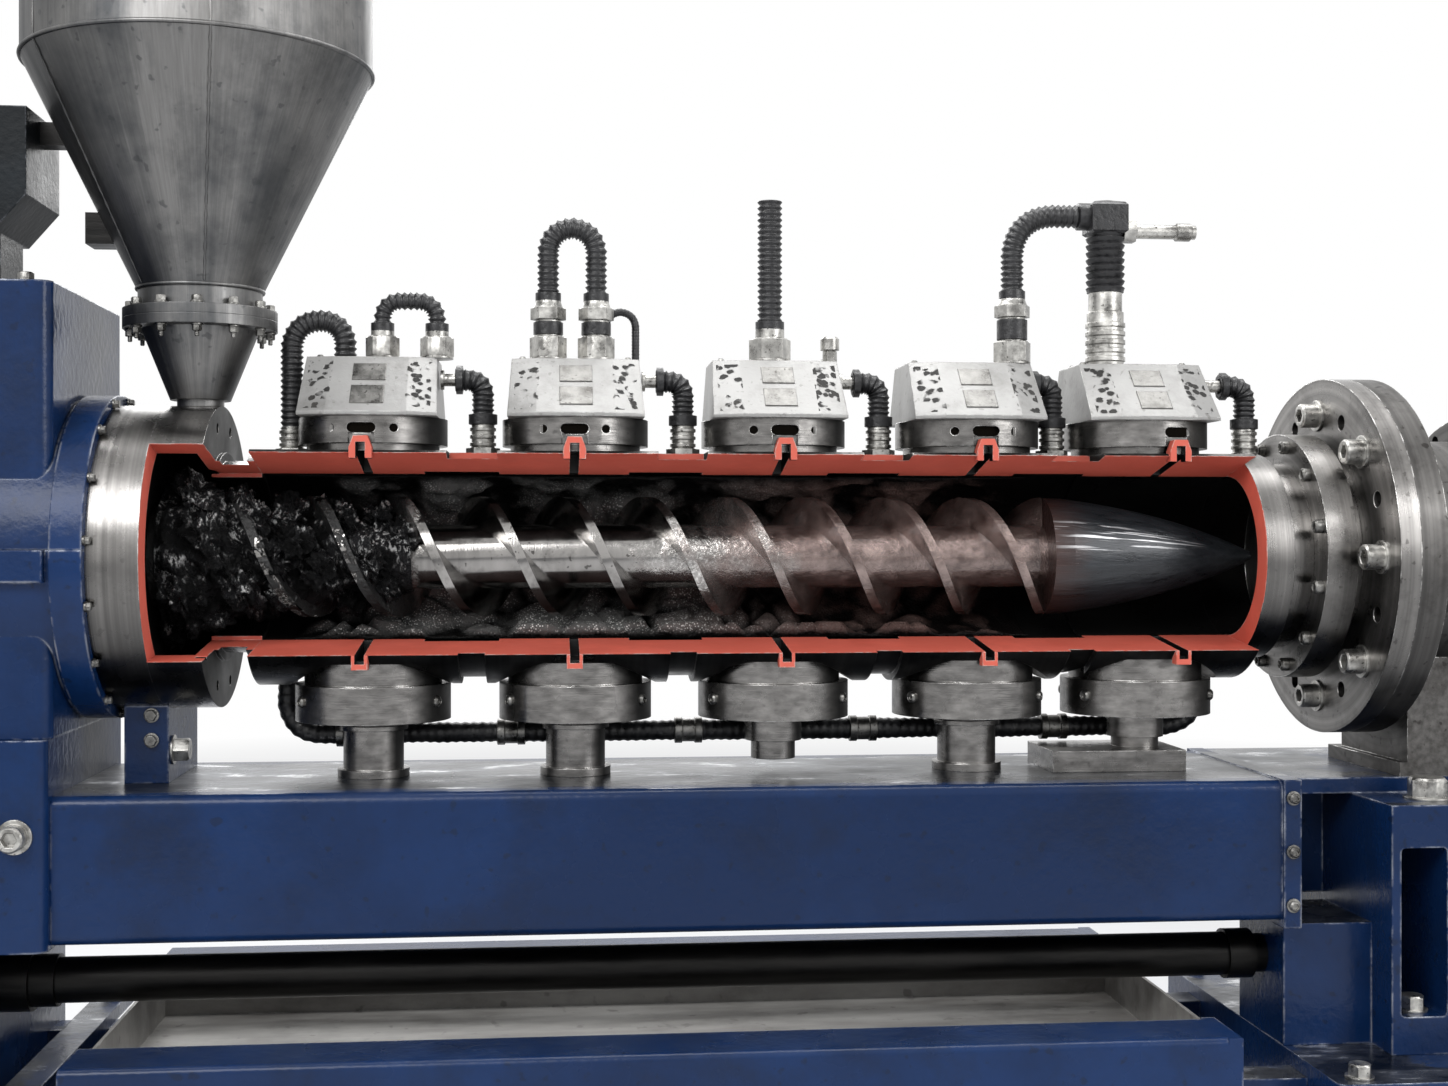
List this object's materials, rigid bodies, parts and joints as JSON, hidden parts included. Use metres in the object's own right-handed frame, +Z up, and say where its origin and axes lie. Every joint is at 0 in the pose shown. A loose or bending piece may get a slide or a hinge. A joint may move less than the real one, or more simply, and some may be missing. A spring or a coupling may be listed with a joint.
{
  "type": "rubber extruder",
  "caption": "Cutaway rubber extruder: gearbox, hopper, windowed barrel with a two-start screw, heating zones and head on a welded frame.",
  "frame": {"origin": "centre of the object's footprint, on the floor that its levelling feet stand on", "axes": "+X along the screw from the gearbox to the discharge head, +Y away from the cutaway side, +Z up"},
  "size_m": [2.2, 0.58, 1.58],
  "materials": {
    "blue_paint": "semi-gloss, worn to metal on the upper faces",
    "dark_paint": "satin",
    "dark_steel": "satin",
    "zinc_steel": "satin",
    "tray_steel": "matte, stained",
    "ring_steel": "turned, satin",
    "casing_steel": "machined, oily, with red paint on the cut faces",
    "hopper_steel": "satin, soft reflections",
    "screw_steel": "polished, smeared",
    "rubber_compound": "glossy, lumpy",
    "black_hose": "corrugated, satin",
    "cover_paint": "satin, light grey"
  },
  "bodies": {
    "machine": {"adapter_flange": "ring_steel", "barrel": "casing_steel", "base_rails": "dark_paint", "conduit_glands": "zinc_steel", "drip_tray": "tray_steel", "end_collar": "ring_steel", "feed_barrel": "ring_steel", "feed_support": "zinc_steel", "gearbox_end_cover": "blue_paint", "gearbox_housing": "blue_paint", "gearbox_lid": "blue_paint", "gearbox_plinth": "blue_paint", "head_body": "ring_steel", "head_flange": "ring_steel", "head_pedestal": "blue_paint", "head_saddle": "dark_steel", "hopper_cone": "hopper_steel", "hopper_fittings": "zinc_steel", "hopper_rim": "hopper_steel", "hopper_throat": "hopper_steel", "junction_box": "blue_paint", "left_base": "blue_paint", "levelling_feet": "zinc_steel", "lower_conduit": "black_hose", "main_beam": "blue_paint", "right_base": "blue_paint", "side_fittings": "zinc_steel", "side_hoses": "black_hose", "sills": "blue_paint", "support_posts": "ring_steel", "thrust_ring": "ring_steel", "tie_bar": "dark_steel", "top_conduits": "black_hose", "wall_compound": "rubber_compound", "zone_bases": "ring_steel", "zone_cover_1": "cover_paint", "zone_cover_2": "cover_paint", "zone_cover_3": "cover_paint", "zone_cover_4": "cover_paint", "zone_cover_5": "cover_paint", "zone_discs": "ring_steel", "zone_drains": "ring_steel"},
    "screw": {"screw": "screw_steel", "screw_tip": "rubber_compound", "feed_compound": "rubber_compound"}
  },
  "joints": [
    {"name": "screw_spin", "type": "hinge", "parent": "machine", "child": "screw", "pos_m": [0, 0, 0.8], "axis": [1, 0, 0], "continuous": true}
  ]
}
